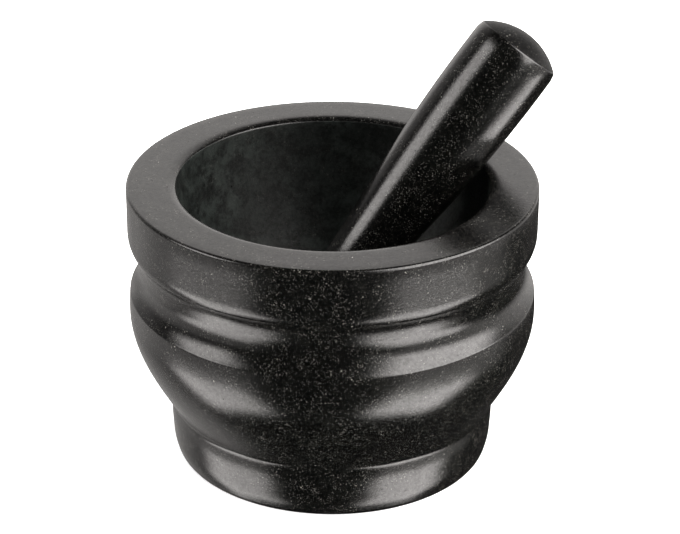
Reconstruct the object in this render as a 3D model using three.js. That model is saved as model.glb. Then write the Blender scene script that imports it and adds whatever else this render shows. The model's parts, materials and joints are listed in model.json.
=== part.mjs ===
// Granite mortar and pestle, in millimetres. +Z is up and z = 0 is the flat underside of the foot.
// +X is the side the pestle leans towards, and +Y is the far side.
import * as THREE from 'three';

// driving sizes of the mortar; a drop is a distance below the top of the rim, and an inset is from
// the widest radius
const mortarDiameter = 160;
const mortarHeight = 113.6;
const rimRingWidth = 19.2;
const bowlDepth = 79;
const footDiameter = 127.6;
const footEdgeRound = 2.6;
const neckDiameter = 129.6;
const neckHeight = 23.4;
const flankTilt = 30;
const bellyDrop = 52.6;
const ridgeDrop = 44.4;
const ridgeInset = 0.4;
const ridgeTilt = 42;
const coveDrop = 34;
const coveInset = 4.5;
const undercutDrop = 25;
const undercutInset = 1.6;
const undercutTilt = 42;
const collarDepth = 19.1;
const rimEdgeRound = 2;
const mouthRound = 6.5;
const mouthDrop = 1.3;

// driving sizes of the pestle; its lengths run down from the crisp edge under the domed top
const pestleLength = 159.4;
const pestleDiameter = 36;
const domeHeight = 6.4;
const topEdgeInset = 0.6;
const widestAt = 14;
const barrelArc = 620;
const taperAt = 74;
const tipRadius = 11.35;

// how the pestle stands in the bowl
const gap = 0.3;
const tipOffset = 12.7;
const leanAzimuth = THREE.MathUtils.degToRad(19);

const outerRadius = mortarDiameter / 2;
const mouthRadius = outerRadius - rimRingWidth;
const mouthHeight = mortarHeight - mouthDrop;
const floorHeight = mortarHeight - bowlDepth;
const tipCentreDown = pestleLength - domeHeight - tipRadius;

const roundSegments = 72;

// points on an arc about (cx, cz); angles in radians, from the outward direction towards +Z
function arc(cx, cz, radius, from, to, steps) {
  const points = [];
  for (let i = 0; i <= steps; i += 1) {
    const angle = from + (to - from) * i / steps;
    points.push(new THREE.Vector2(cx + radius * Math.cos(angle), cz + radius * Math.sin(angle)));
  }
  return points;
}

// a smooth curve between two points; a tilt is the wall's lean outwards from vertical, in degrees
function blend(r0, z0, tilt0, r1, z1, tilt1, steps) {
  const reach = Math.hypot(r1 - r0, z1 - z0) / 3;
  const t0 = THREE.MathUtils.degToRad(tilt0);
  const t1 = THREE.MathUtils.degToRad(tilt1);
  const curve = new THREE.CubicBezierCurve(
    new THREE.Vector2(r0, z0),
    new THREE.Vector2(r0 + reach * Math.sin(t0), z0 + reach * Math.cos(t0)),
    new THREE.Vector2(r1 - reach * Math.sin(t1), z1 - reach * Math.cos(t1)),
    new THREE.Vector2(r1, z1),
  );
  return curve.getPoints(steps);
}

// foot with a rounded lower edge, up to the neck
function footOutline() {
  const radius = footDiameter / 2;
  return [
    new THREE.Vector2(0, 0),
    ...arc(radius - footEdgeRound, footEdgeRound, footEdgeRound, -Math.PI / 2, 0, 5),
  ];
}

// flank rising from the neck into the round belly, which ends above in the crisp ridge
function bellyOutline() {
  const belly = mortarHeight - bellyDrop;
  const ridge = mortarHeight - ridgeDrop;
  return [
    ...blend(neckDiameter / 2, neckHeight, flankTilt, outerRadius, belly, 0, 12),
    ...blend(outerRadius, belly, 0, outerRadius - ridgeInset, ridge, -6, 3).slice(1),
  ];
}

// hollow cove above the ridge, turning through the undercut into the collar's rounded lower edge
function mouldingOutline() {
  const ridge = new THREE.Vector2(outerRadius - ridgeInset, mortarHeight - ridgeDrop);
  const cove = new THREE.Vector2(outerRadius - coveInset, mortarHeight - coveDrop);
  const under = new THREE.Vector2(outerRadius - undercutInset, mortarHeight - undercutDrop);
  const collar = mortarHeight - collarDepth;
  return [
    ...blend(ridge.x, ridge.y, -ridgeTilt, cove.x, cove.y, 0, 7).slice(1),
    ...blend(cove.x, cove.y, 0, under.x, under.y, undercutTilt, 5).slice(1),
    ...blend(under.x, under.y, undercutTilt, outerRadius, collar, 0, 7).slice(1),
  ];
}

// rounded outer edge, flat top and softly rounded inner edge of the rim
function rimOutline() {
  const roundStart = mouthRadius + Math.sqrt(2 * mouthRound * mouthDrop - mouthDrop ** 2);
  const sweep = Math.acos(1 - mouthDrop / mouthRound);
  const edgeCentre = outerRadius - rimEdgeRound;
  return [
    ...arc(edgeCentre, mortarHeight - rimEdgeRound, rimEdgeRound, 0, Math.PI / 2, 5),
    ...arc(roundStart, mortarHeight - mouthRound, mouthRound, Math.PI / 2, Math.PI / 2 + sweep, 4),
  ];
}

// half-ellipse hollow of the bowl, from the mouth down to its lowest point on the axis
function hollowPoint(angle) {
  const depth = mouthHeight - floorHeight;
  return new THREE.Vector2(mouthRadius * Math.cos(angle), mouthHeight - depth * Math.sin(angle));
}

function hollowOutline() {
  const steps = 16;
  const points = [];
  for (let i = 1; i < steps; i += 1) {
    points.push(hollowPoint(Math.PI / 2 * i / steps));
  }
  points.push(new THREE.Vector2(0, floorHeight));
  return points;
}

// half-thickness of the pestle at a distance down: a long bulge, then a taper that eases into the tip
function pestleRadius(down) {
  const bulge = (at) => pestleDiameter / 2 - (at - widestAt) ** 2 / (2 * barrelArc);
  if (down <= taperAt) {
    return bulge(down);
  }
  const length = tipCentreDown - taperAt;
  const slope = (widestAt - taperAt) / barrelArc;
  const u = Math.min((down - taperAt) / length, 1);
  const held = 1 - 3 * u ** 2 + 2 * u ** 3;
  const eased = u * (1 - u) ** 2;
  return held * bulge(taperAt) + eased * length * slope + (1 - held) * tipRadius;
}

const topRadius = pestleRadius(0) - topEdgeInset;

// half outline of the pestle, tip centre at z = 0 and dome at the top
function pestleOutline() {
  const points = [new THREE.Vector2(0, -tipRadius)];
  points.push(...arc(0, 0, tipRadius, -Math.PI / 2, 0, 9).slice(1));
  const steps = 26;
  for (let i = 1; i < steps; i += 1) {
    const down = tipCentreDown * (1 - i / steps);
    points.push(new THREE.Vector2(pestleRadius(down), tipCentreDown - down));
  }
  const domeSphere = (topRadius ** 2 + domeHeight ** 2) / (2 * domeHeight);
  const edgeAngle = Math.atan2(domeSphere - domeHeight, topRadius);
  const centre = tipCentreDown + domeHeight - domeSphere;
  points.push(...arc(0, centre, domeSphere, edgeAngle, Math.PI / 2, 7));
  points[points.length - 1].x = 0;
  return points;
}

// height of the tip's centre when the tip sits a gap above the hollow's floor
function tipCentreHeight() {
  let low = floorHeight;
  let high = mortarHeight;
  for (let i = 0; i < 50; i += 1) {
    const z = (low + high) / 2;
    let nearest = Infinity;
    for (let k = 0; k <= 400; k += 1) {
      const floor = hollowPoint(Math.PI / 2 * k / 400);
      nearest = Math.min(nearest, Math.hypot(floor.x - tipOffset, floor.y - z));
    }
    if (nearest < tipRadius + gap) {
      low = z;
    } else {
      high = z;
    }
  }
  return (low + high) / 2;
}

// lean from vertical at which the pestle's side is a gap away from the mouth's edge
function leanAngle(tipHeight) {
  const section = [...rimOutline(), ...hollowOutline().slice(0, 6)];
  let low = 0;
  let high = 1.4;
  for (let i = 0; i < 50; i += 1) {
    const lean = (low + high) / 2;
    let clearance = Infinity;
    for (const edge of section) {
      const across = edge.x + tipOffset;
      const rise = edge.y - tipHeight;
      const along = across * Math.sin(lean) + rise * Math.cos(lean);
      const offAxis = across * Math.cos(lean) - rise * Math.sin(lean);
      clearance = Math.min(clearance, offAxis - pestleRadius(tipCentreDown - along));
    }
    if (clearance > gap) {
      low = lean;
    } else {
      high = lean;
    }
  }
  return (low + high) / 2;
}

function turned(outline, segments) {
  const geometry = new THREE.LatheGeometry(outline, segments);
  geometry.rotateX(Math.PI / 2);
  return geometry;
}

function piece(name, geometry, colour, roughness) {
  const material = new THREE.MeshStandardMaterial({ color: colour, roughness, metalness: 0 });
  material.name = name;
  const mesh = new THREE.Mesh(geometry, material);
  mesh.name = name;
  return mesh;
}

function mortar() {
  const outline = [
    ...footOutline(),
    ...bellyOutline(),
    ...mouldingOutline(),
    ...rimOutline(),
    ...hollowOutline(),
  ];
  return piece('mortar', turned(outline, roundSegments), 0x2a2b2b, 0.25);
}

function pestle() {
  const geometry = turned(pestleOutline(), roundSegments / 2);
  const tipHeight = tipCentreHeight();
  geometry.rotateY(leanAngle(tipHeight));
  geometry.translate(-tipOffset, 0, tipHeight);
  geometry.rotateZ(leanAzimuth);
  return piece('pestle', geometry, 0x262727, 0.25);
}

const part = new THREE.Group();
part.name = 'mortar_and_pestle';
part.add(mortar(), pestle());

export default part;
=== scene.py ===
import json
import math
import bpy
import bmesh
from mathutils import Matrix, Vector
from mathutils.geometry import interpolate_bezier


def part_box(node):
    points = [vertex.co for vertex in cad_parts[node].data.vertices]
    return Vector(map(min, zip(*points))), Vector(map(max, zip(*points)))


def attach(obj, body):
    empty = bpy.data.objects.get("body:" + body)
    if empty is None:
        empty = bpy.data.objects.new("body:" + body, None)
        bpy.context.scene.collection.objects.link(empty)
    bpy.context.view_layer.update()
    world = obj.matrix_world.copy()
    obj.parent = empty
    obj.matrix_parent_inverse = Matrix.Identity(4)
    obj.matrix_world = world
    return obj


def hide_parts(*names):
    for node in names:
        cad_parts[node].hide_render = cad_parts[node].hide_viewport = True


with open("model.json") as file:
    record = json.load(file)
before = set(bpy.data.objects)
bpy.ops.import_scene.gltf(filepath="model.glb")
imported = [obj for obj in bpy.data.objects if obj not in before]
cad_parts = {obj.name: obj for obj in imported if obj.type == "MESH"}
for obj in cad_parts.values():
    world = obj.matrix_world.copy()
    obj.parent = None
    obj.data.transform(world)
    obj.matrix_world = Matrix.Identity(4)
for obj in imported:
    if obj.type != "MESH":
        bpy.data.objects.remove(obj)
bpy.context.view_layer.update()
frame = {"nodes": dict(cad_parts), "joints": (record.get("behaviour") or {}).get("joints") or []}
scene = bpy.context.scene
scene.view_settings.view_transform = "Standard"
mm = 0.001
print("frame loaded:", sorted(frame["nodes"]))


def hexColour(code):
    # sRGB hex to the linear RGBA the shader sockets want
    parts = [int(code[i:i + 2], 16) / 255 for i in (0, 2, 4)]
    linear = [c / 12.92 if c <= 0.04045 else ((c + 0.055) / 1.055) ** 2.4 for c in parts]
    return (*linear, 1.0)


def addNode(tree, kind, inputs=None, **settings):
    # settings are the node's properties; inputs are values, sockets, or nodes whose first output feeds in
    node = tree.nodes.new(kind)
    for name, value in settings.items():
        setattr(node, name, value)
    for key, value in (inputs or {}).items():
        if isinstance(value, bpy.types.Node):
            value = value.outputs[0]
        if isinstance(value, bpy.types.NodeSocket):
            tree.links.new(value, node.inputs[key])
        else:
            node.inputs[key].default_value = value
    return node


def newTree(owner):
    owner.use_nodes = True
    owner.node_tree.nodes.clear()
    return owner.node_tree


camera = {
    "place": (3.007, -875.49, 509.81),  # mm
    "tilt": 63.635,  # degrees up from looking straight down
    "roll": 0.313,
    "lens": 131.36, "sensor": 36,
}

cameraData = bpy.data.cameras.new("camera")
cameraData.sensor_width = camera["sensor"]
cameraData.lens = camera["lens"]
cameraObject = bpy.data.objects.new("camera", cameraData)
tilt = Matrix.Rotation(math.radians(camera["tilt"]), 4, "X")
roll = Matrix.Rotation(math.radians(camera["roll"]), 4, "Z")
cameraObject.matrix_world = Matrix.Translation(Vector(camera["place"]) * mm) @ tilt @ roll
scene.collection.objects.link(cameraObject)
scene.camera = cameraObject
print("camera placed")


studio = {
    "paper": "f7f7f7", "paperSize": 8.0, "paperDrop": 0.0002,  # metres
    "backlight": 0.8,
    "overhead": 30.0, "overheadSize": 1.6, "overheadPlace": (0.0, 0.1, 1.5),  # watts, metres
    "tint": "fffbf8",
    # soft boxes and walls as patches of sky: azimuth, its half width, elevation, its half height,
    # edge softness across and up, radiance, and for some the slant in azimuth per degree of elevation;
    # those below the horizon are what the table top gives back
    "patches": {
        "rightBox": (66, 33, 33, 29, 10, 9, 8.0),
        "rightBounce": (56, 26, -42, 13, 8, 4, 6.4, 0.5),
        "rightWall": (74, 34, -14, 15, 14, 9, 1.0),
        "frontCard": (32, 10, 2, 12, 8, 8, 1.2),
        "leftBox": (-77, 17, 27, 14, 6, 6, 5.6),
        "leftBounce": (-73, 27, -42, 13, 8, 4, 4.5, -0.3),
        "leftWall": (-98, 52, -17, 15, 16, 9, 0.7),
        "sideWall": (132, 38, 0, 18, 12, 10, 1.0),
        "backWall": (184, 38, 18, 28, 14, 12, 1.2),
        "backLeft": (-148, 34, -6, 60, 14, 12, 0.45),
    },
    "dark": 0.03,
}

floorMesh = bmesh.new()
bmesh.ops.create_grid(floorMesh, x_segments=1, y_segments=1, size=studio["paperSize"] / 2)
floorData = bpy.data.meshes.new("floor")
floorMesh.to_mesh(floorData)
floorMesh.free()
floor = bpy.data.objects.new("floor", floorData)
floor.location.z = -studio["paperDrop"]
scene.collection.objects.link(floor)

# matt paper on a light table, which takes the shadow off it
paper = bpy.data.materials.new("mattPaperSweep")
tree = newTree(paper)
white = hexColour(studio["paper"])
matt = addNode(tree, "ShaderNodeBsdfDiffuse", {"Color": white})
lit = addNode(tree, "ShaderNodeEmission", {"Color": white, "Strength": studio["backlight"]})
sheet = addNode(tree, "ShaderNodeAddShader", {0: matt, 1: lit})
addNode(tree, "ShaderNodeOutputMaterial", {"Surface": sheet})
floorData.materials.append(paper)
floor.visible_glossy = False  # the stone mirrors the studio, not the sheet of paper
floor.visible_shadow = False

overhead = bpy.data.lights.new("overhead", "AREA")
overhead.shape = "DISK"
overhead.size = studio["overheadSize"]
overhead.energy = studio["overhead"]
overheadObject = bpy.data.objects.new("overhead", overhead)
overheadObject.location = studio["overheadPlace"]
overheadObject.visible_camera = False
overheadObject.visible_glossy = False  # no mirror image of it in the stone
scene.collection.objects.link(overheadObject)

world = bpy.data.worlds.new("studio")
scene.world = world
tree = newTree(world)

direction = addNode(tree, "ShaderNodeTexCoord").outputs["Generated"]
split = addNode(tree, "ShaderNodeSeparateXYZ", {0: direction}).outputs
front = addNode(tree, "ShaderNodeMath", {0: split["Y"], 1: -1.0}, operation="MULTIPLY")
azimuth = addNode(tree, "ShaderNodeMath", {0: split["X"], 1: front}, operation="ARCTAN2")
azimuth = addNode(tree, "ShaderNodeMath", {0: azimuth}, operation="DEGREES")
elevation = addNode(tree, "ShaderNodeMath", {0: split["Z"]}, operation="ARCSINE")
elevation = addNode(tree, "ShaderNodeMath", {0: elevation}, operation="DEGREES")
glow = studio["dark"]
for az, halfAz, el, halfEl, softAz, softEl, radiance, *slant in studio["patches"].values():
    rise = addNode(tree, "ShaderNodeMath", {0: elevation, 1: el}, operation="SUBTRACT")
    if slant:
        az = addNode(tree, "ShaderNodeMath", {0: rise, 1: slant[0], 2: az}, operation="MULTIPLY_ADD")
    off = addNode(tree, "ShaderNodeMath", {0: azimuth, 1: az}, operation="SUBTRACT")
    off = addNode(tree, "ShaderNodeMath", {0: off, 1: -180.0, 2: 180.0}, operation="WRAP")
    patch = radiance
    for away, half, soft in ((off, halfAz, softAz), (rise, halfEl, softEl)):
        away = addNode(tree, "ShaderNodeMath", {0: away}, operation="ABSOLUTE")
        edge = addNode(tree, "ShaderNodeMapRange", {0: away, 1: half - soft, 2: half + soft, 3: 1.0, 4: 0.0},
                       interpolation_type="SMOOTHSTEP")
        patch = addNode(tree, "ShaderNodeMath", {0: patch, 1: edge}, operation="MULTIPLY")
    glow = addNode(tree, "ShaderNodeMath", {0: glow, 1: patch}, operation="MAXIMUM")
walls = addNode(tree, "ShaderNodeBackground", {"Color": hexColour(studio["tint"]), "Strength": glow})
backdrop = addNode(tree, "ShaderNodeBackground", {"Color": hexColour("ffffff"), "Strength": 1.0})
ray = addNode(tree, "ShaderNodeLightPath").outputs["Is Camera Ray"]
seen = addNode(tree, "ShaderNodeMixShader", {0: ray, 1: walls, 2: backdrop})
addNode(tree, "ShaderNodeOutputWorld", {"Surface": seen})
print("studio lit")


def graniteMaterial(name, stone):
    # black granite: near-black ground mass with broken pale feldspar flecks, finished as stone says
    material = bpy.data.materials.new(name)
    tree = newTree(material)
    place = addNode(tree, "ShaderNodeTexCoord").outputs["Object"]
    shine = stone["shine"]
    # noises: size in mm, detail and roughness; feldspar laths run 0.5 to 2 mm, and stains 10 to 30 mm
    noise = {}
    for use, (size, detail, roughness) in {
            "push": (0.5, 2.0, 0.5), "broken": (0.45, 2.0, 0.5), "dense": (8, 3.0, 0.5),
            "curlLines": (1.3, 0.0, 0.5), "curlPlaces": (2.6, 1.0, 0.5),
            "clouds": (stone["cloudSize"], 4.0, 0.65), "stains": (22, 3.0, 0.6),
            "grain": (0.7, 3.0, 0.6), "mica": (1.5, 5.0, 0.7)}.items():
        noise[use] = addNode(tree, "ShaderNodeTexNoise", {
            "Vector": place, "Scale": 1 / (size * mm), "Detail": detail, "Roughness": roughness}).outputs
    # the two levels that a noise is eased between, and the values that they give
    eased = {}
    for use, (low, high, start, end) in {
            "broken": (0.4, 0.56, 0.0, 1.0), "dense": (0.38, 0.62, 0.35, 1.0),
            "curlPlaces": (0.56, 0.64, 0.0, 1.0),
            "clouds": (0.36, 0.64, 0.0, 1.0), "stains": (0.4, 0.6, 0.4, 1.0),
            "grain": (0.35, 0.7, *stone["roughness"]),  # softer grains take less polish
            "mica": (0.36, 0.6, shine * 0.82, shine * 1.04)}.items():  # dark mica is less lustrous
        eased[use] = addNode(tree, "ShaderNodeMapRange", {
            0: noise[use]["Fac"], 1: low, 2: high, 3: start, 4: end}, interpolation_type="SMOOTHSTEP")

    # the cells are pushed about by fine noise, so no fleck is round
    push = addNode(tree, "ShaderNodeVectorMath", {
        0: noise["push"]["Color"], 1: (0.5, 0.5, 0.5)}, operation="SUBTRACT")
    push = addNode(tree, "ShaderNodeVectorMath", {0: push, "Scale": stone["raggedness"] * mm}, operation="SCALE")
    warped = addNode(tree, "ShaderNodeVectorMath", {0: place, 1: push}, operation="ADD")
    flecks = 0.0
    for size, share, radius, strength in stone["flecks"]:
        cells = addNode(tree, "ShaderNodeTexVoronoi", {
            "Vector": warped, "Scale": 1 / (size * mm), "Randomness": 1.0}).outputs
        lot = addNode(tree, "ShaderNodeSeparateColor", {0: cells["Color"]}).outputs[0]
        chosen = addNode(tree, "ShaderNodeMapRange", {0: lot, 1: 1 - share, 2: 1.0, 3: 0.0, 4: 1.0},
                         interpolation_type="SMOOTHSTEP")
        chosen = addNode(tree, "ShaderNodeMath", {0: chosen, 1: 1.6}, operation="POWER")  # most are dim
        spot = addNode(tree, "ShaderNodeMapRange", {
            0: cells["Distance"], 1: radius, 2: radius * 0.4, 3: 0.0, 4: strength},
            interpolation_type="SMOOTHSTEP")
        spot = addNode(tree, "ShaderNodeMath", {0: spot, 1: eased["broken"]}, operation="MULTIPLY")
        spot = addNode(tree, "ShaderNodeMath", {0: chosen, 1: spot}, operation="MULTIPLY")
        flecks = addNode(tree, "ShaderNodeMath", {0: flecks, 1: spot}, operation="MAXIMUM")

    # hair-thin curls where a crystal shows only its rim; the real ones are finer than can show
    curl = addNode(tree, "ShaderNodeMath", {0: noise["curlLines"]["Fac"], 1: 0.5}, operation="SUBTRACT")
    curl = addNode(tree, "ShaderNodeMath", {0: curl}, operation="ABSOLUTE")
    curl = addNode(tree, "ShaderNodeMapRange", {0: curl, 1: 0.018, 2: 0.004, 3: 0.0, 4: stone["curls"]},
                   interpolation_type="SMOOTHSTEP")
    curl = addNode(tree, "ShaderNodeMath", {0: curl, 1: eased["curlPlaces"]}, operation="MULTIPLY")
    flecks = addNode(tree, "ShaderNodeMath", {0: flecks, 1: curl}, operation="MAXIMUM")
    flecks = addNode(tree, "ShaderNodeMath", {0: flecks, 1: eased["dense"]}, operation="MULTIPLY")
    clouds = addNode(tree, "ShaderNodeMath", {0: eased["clouds"], 1: eased["stains"]}, operation="MULTIPLY")
    body = addNode(tree, "ShaderNodeMix", {
        0: clouds, 6: hexColour(stone["dark"]), 7: hexColour(stone["pale"])}, data_type="RGBA").outputs[2]
    colour = addNode(tree, "ShaderNodeMix", {
        0: flecks, 6: body, 7: hexColour(stone["fleck"])}, data_type="RGBA").outputs[2]

    # a few pits are left by the polish, 0.3 to 0.6 mm across
    pitCells = addNode(tree, "ShaderNodeTexVoronoi", {
        "Vector": warped, "Scale": 1 / (stone["pitSpacing"] * mm), "Randomness": 1.0}).outputs
    lot = addNode(tree, "ShaderNodeSeparateColor", {0: pitCells["Color"]}).outputs[1]
    lot = addNode(tree, "ShaderNodeMapRange", {0: lot, 1: 0.86, 2: 0.9, 3: 0.0, 4: 1.0},
                  interpolation_type="SMOOTHSTEP")
    pits = addNode(tree, "ShaderNodeMapRange", {0: pitCells["Distance"], 1: 0.16, 2: 0.08, 3: 0.0, 4: 1.0},
                   interpolation_type="SMOOTHSTEP")
    pits = addNode(tree, "ShaderNodeMath", {0: lot, 1: pits}, operation="MULTIPLY")
    rough = addNode(tree, "ShaderNodeMath", {0: pits, 1: 0.4, 2: eased["grain"]}, operation="MULTIPLY_ADD")
    unpitted = addNode(tree, "ShaderNodeMath", {0: pits, 1: -0.8, 2: 1.0}, operation="MULTIPLY_ADD")
    lustre = addNode(tree, "ShaderNodeMath", {0: eased["mica"], 1: unpitted}, operation="MULTIPLY")
    relief = addNode(tree, "ShaderNodeMath", {0: noise["grain"]["Fac"], 1: stone["bump"]}, operation="MULTIPLY")
    relief = addNode(tree, "ShaderNodeMath", {0: relief, 1: pits}, operation="SUBTRACT")
    bump = addNode(tree, "ShaderNodeBump", {"Height": relief, "Strength": 1.0, "Distance": stone["relief"] * mm})
    shader = addNode(tree, "ShaderNodeBsdfPrincipled", {
        "Base Color": colour, "Roughness": rough, "IOR": 1.55, "Specular IOR Level": lustre, "Normal": bump})
    addNode(tree, "ShaderNodeOutputMaterial", {"Surface": shader})
    return material


polished = {
    "dark": "010101", "pale": "080807", "fleck": "c9c5bc",
    "cloudSize": 4, "raggedness": 0.9,  # mm
    # cell size in mm, share of the cells that hold a fleck, fleck radius in cells, strength
    "flecks": [(0.9, 0.6, 0.38, 0.2), (0.55, 0.9, 0.5, 0.1), (1.9, 0.2, 0.18, 0.5)],
    "curls": 0.1,
    "roughness": (0.12, 0.24), "shine": 0.5,
    "pitSpacing": 1.9, "relief": 0.02, "bump": 2.2,  # mm, mm, grain against pits
}
honed = dict(
    polished, dark="040605", pale="1d211f", cloudSize=6, curls=0.05, roughness=(0.4, 0.6), shine=0.28, bump=3.0,
    flecks=[(0.95, 0.5, 0.42, 0.04), (0.6, 0.6, 0.5, 0.02)])
sawn = dict(
    honed, dark="010101", pale="060606", cloudSize=3, roughness=(0.4, 0.5), shine=0.14,
    flecks=[(0.95, 0.9, 0.42, 0.2), (1.9, 0.4, 0.24, 0.3)])

polishedGranite = graniteMaterial("polishedBlackGranite", polished)  # deep gloss that mirrors the studio softly
honedGranite = graniteMaterial("honedBlackGranite", honed)  # dull, blotchy grey-black, rough enough to grind on
sawnGranite = graniteMaterial("sawnBlackGranite", sawn)  # sawn and rubbed: dark, with no clear reflection
print("granite made")


def curveTo(start, end, steps):
    # smooth stretch of outline between two knots: radius, height, and tilt outwards from upright in degrees
    a, b = Vector((*start[:2], 0)), Vector((*end[:2], 0))
    reach = (b - a).length / 3
    leave, arrive = (
        Vector((math.sin(math.radians(knot[2])), math.cos(math.radians(knot[2])), 0)) * reach
        for knot in (start, end))
    return [(q.x, q.y) for q in interpolate_bezier(a, a + leave, b - arrive, b, steps + 1)][1:]


def roundTo(centre, radius, start, end, steps):
    # arc of outline; angles in degrees from outwards towards up
    angles = [math.radians(start + (end - start) * i / steps) for i in range(steps + 1)]
    return [(centre[0] + radius * math.cos(t), centre[1] + radius * math.sin(t)) for t in angles]


def turnedMesh(name, outline, steps, edges):
    # outline is (radius, height) in mm; edges are the crisp rings, eased by a small width
    shape = bmesh.new()
    chain = [shape.verts.new((r * mm, 0, z * mm)) for r, z in outline]
    line = [shape.edges.new(pair) for pair in zip(chain, chain[1:])]
    bmesh.ops.spin(shape, geom=chain + line, cent=(0, 0, 0), axis=(0, 0, 1),
                   angle=math.tau, steps=steps, use_merge=True)
    bmesh.ops.remove_doubles(shape, verts=shape.verts, dist=0.002 * mm)
    bmesh.ops.recalc_face_normals(shape, faces=shape.faces)
    for radius, height, width in edges:
        ring = [e for e in shape.edges if all(
            (Vector((v.co.xy.length, v.co.z)) / mm - Vector((radius, height))).length < 0.01 for v in e.verts)]
        bmesh.ops.bevel(shape, geom=ring, offset=width * mm, segments=3,
                        profile=0.5, affect="EDGES", material=-1)
    for face in shape.faces:
        face.smooth = True
    mesh = bpy.data.meshes.new(name)
    shape.to_mesh(mesh)
    shape.free()
    return mesh


def placePiece(name, mesh, body, node):
    piece = bpy.data.objects.new(name, mesh)
    scene.collection.objects.link(piece)
    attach(piece, body)
    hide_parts(node)


# sizes in mm; a knot is radius, height and tilt
mortarSize = {
    "radius": 80, "height": 113.6,
    # foot with an eased lower edge, upright wall, and waist under the flank
    "footFlat": 61.2, "footEdge": (63.1, 3.2, 17), "footWall": (63.9, 8.5, 3), "footTop": (64.3, 16, 1),
    "waist": (64.1, 20.8, -3.5), "flank": (65.9, 25.2, 30), "belly": (80, 61, 0), "ridge": (79.6, 69.2, -6),
    # moulding: hollow cove, slope, undercut, and roll below the collar
    "ridgeTilt": -42, "cove": (75.5, 78.4, 0), "slope": (75.9, 82.2, 13), "undercut": (78.8, 90.2, 40),
    "roll": (79.65, 92.2, 16), "collar": (80, 95.8, 0),
    "rimRound": 1.4, "mouth": (60.8, 112.3), "mouthRound": 6.5, "floor": 34.6,
    "edgeWidth": 0.35,
    # steps round, and steps along each stretch of the outline
    "steps": 256, "footSteps": (8, 5, 4, 6, 8, 30, 8), "mouldingSteps": (16, 8, 8, 6, 8),
    "roundSteps": 6, "mouthSteps": 5, "bowlSteps": 40,
    "flatRings": (20, 40), "collarRings": (99.8, 103.8, 107.8), "rimRings": (75, 71, 67),
}

s = mortarSize
mouthRadius, mouthHeight = s["mouth"]
mouthDrop = s["height"] - mouthHeight
mouthStart = mouthRadius + math.sqrt(2 * s["mouthRound"] * mouthDrop - mouthDrop ** 2)
mouthSweep = math.degrees(math.acos(1 - mouthDrop / s["mouthRound"]))
outline = [(0, 0)] + [(radius, 0) for radius in (*s["flatRings"], s["footFlat"])]
foot = [s[k] for k in ("footEdge", "footWall", "footTop", "waist", "flank", "belly", "ridge")]
moulding = [s[k] for k in ("cove", "slope", "undercut", "roll", "collar")]
for knots, counts in (
        ([(s["footFlat"], 0, 90), *foot], s["footSteps"]),
        ([(*s["ridge"][:2], s["ridgeTilt"]), *moulding], s["mouldingSteps"])):
    for start, end, steps in zip(knots, knots[1:], counts):
        outline += curveTo(start, end, steps)
outline += [(s["radius"], height) for height in s["collarRings"]]
rimCentre = (s["radius"] - s["rimRound"], s["height"] - s["rimRound"])
outline += roundTo(rimCentre, s["rimRound"], 0, 90, s["roundSteps"])
outline += [(radius, s["height"]) for radius in s["rimRings"]]
mouthCentre = (mouthStart, s["height"] - s["mouthRound"])
outline += roundTo(mouthCentre, s["mouthRound"], 90, 90 + mouthSweep, s["mouthSteps"])
for i in range(1, s["bowlSteps"]):  # the bowl is half an ellipse
    t = math.pi / 2 * i / s["bowlSteps"]
    outline.append((mouthRadius * math.cos(t), mouthHeight - (mouthHeight - s["floor"]) * math.sin(t)))
outline.append((0, s["floor"]))

mortarMesh = turnedMesh("mortar_stone", outline, s["steps"], [
    (*s["ridge"][:2], s["edgeWidth"]), (*s["mouth"], s["edgeWidth"])])
for material in (polishedGranite, honedGranite, sawnGranite):
    mortarMesh.materials.append(material)
for face in mortarMesh.polygons:  # sawn underneath, honed where the bowl faces inwards
    height = face.center.z / mm
    inwards = face.normal.dot(face.center * Vector((1, 1, 0))) <= 0
    if height < 0.01:
        face.material_index = 2
    elif s["floor"] - 1 < height < mouthHeight and inwards:
        face.material_index = 1
placePiece("mortar_stone", mortarMesh, "mortar", "mortar")
print("mortar turned:", len(mortarMesh.polygons), "faces")


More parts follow.
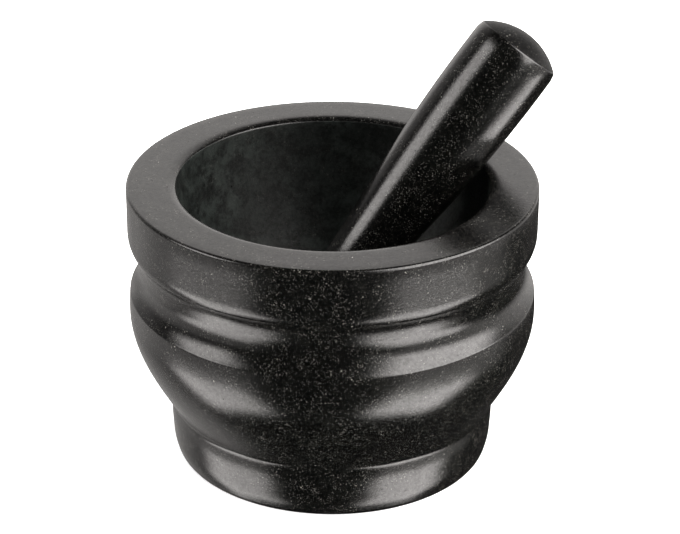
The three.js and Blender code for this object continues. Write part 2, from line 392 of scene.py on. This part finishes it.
# sizes in mm; widestAt and taperAt are measured down from the crisp edge under the dome
pestleSize = {
    "length": 159.4, "radius": 18, "dome": 6.4, "topInset": 0.6, "widestAt": 14, "barrelArc": 620,
    "taperAt": 74, "tipRadius": 11.35, "edgeWidth": 0.35,
    "steps": 160, "barrelSteps": 48, "roundSteps": 14,
}

p = pestleSize
tipDown = p["length"] - p["dome"] - p["tipRadius"]


def pestleRadius(down):
    # long bulge, then a taper that eases into the ball of the tip
    def bulge(at):
        return p["radius"] - (at - p["widestAt"]) ** 2 / (2 * p["barrelArc"])
    if down <= p["taperAt"]:
        return bulge(down)
    length = tipDown - p["taperAt"]
    slope = (p["widestAt"] - p["taperAt"]) / p["barrelArc"]
    u = min((down - p["taperAt"]) / length, 1)
    held = 1 - 3 * u ** 2 + 2 * u ** 3
    return held * bulge(p["taperAt"]) + u * (1 - u) ** 2 * length * slope + (1 - held) * p["tipRadius"]


topRadius = pestleRadius(0) - p["topInset"]
domeSphere = (topRadius ** 2 + p["dome"] ** 2) / (2 * p["dome"])
edgeAngle = math.degrees(math.atan2(domeSphere - p["dome"], topRadius))
domeCentre = (0, tipDown + p["dome"] - domeSphere)
outline = [(0, -p["tipRadius"])] + roundTo((0, 0), p["tipRadius"], -90, 0, p["roundSteps"])[1:]
for i in range(1, p["barrelSteps"]):
    up = tipDown * i / p["barrelSteps"]
    outline.append((pestleRadius(tipDown - up), up))
outline += roundTo(domeCentre, domeSphere, edgeAngle, 90, p["roundSteps"])[:-1]
outline.append((0, tipDown + p["dome"]))

pestleMesh = turnedMesh("pestle_stone", outline, p["steps"], [(topRadius, tipDown, p["edgeWidth"])])
for material in (polishedGranite, sawnGranite):
    pestleMesh.materials.append(material)
for face in pestleMesh.polygons:  # the dome is left sawn
    if face.center.z / mm > tipDown + 0.2:
        face.material_index = 1
# the pestle leans along the axis of its slide, with the ball of its tip in the lowest corner of its box
lean = Vector(frame["joints"][0]["axis"]).normalized()
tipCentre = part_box("pestle")[0] + Vector((1, 1, 1)) * p["tipRadius"] * mm
turn = Vector((0, 0, 1)).rotation_difference(lean).to_matrix().to_4x4()
pestleMesh.transform(Matrix.Translation(tipCentre) @ turn)
placePiece("pestle_stone", pestleMesh, "pestle", "pestle")
print("pestle turned:", len(pestleMesh.polygons), "faces")
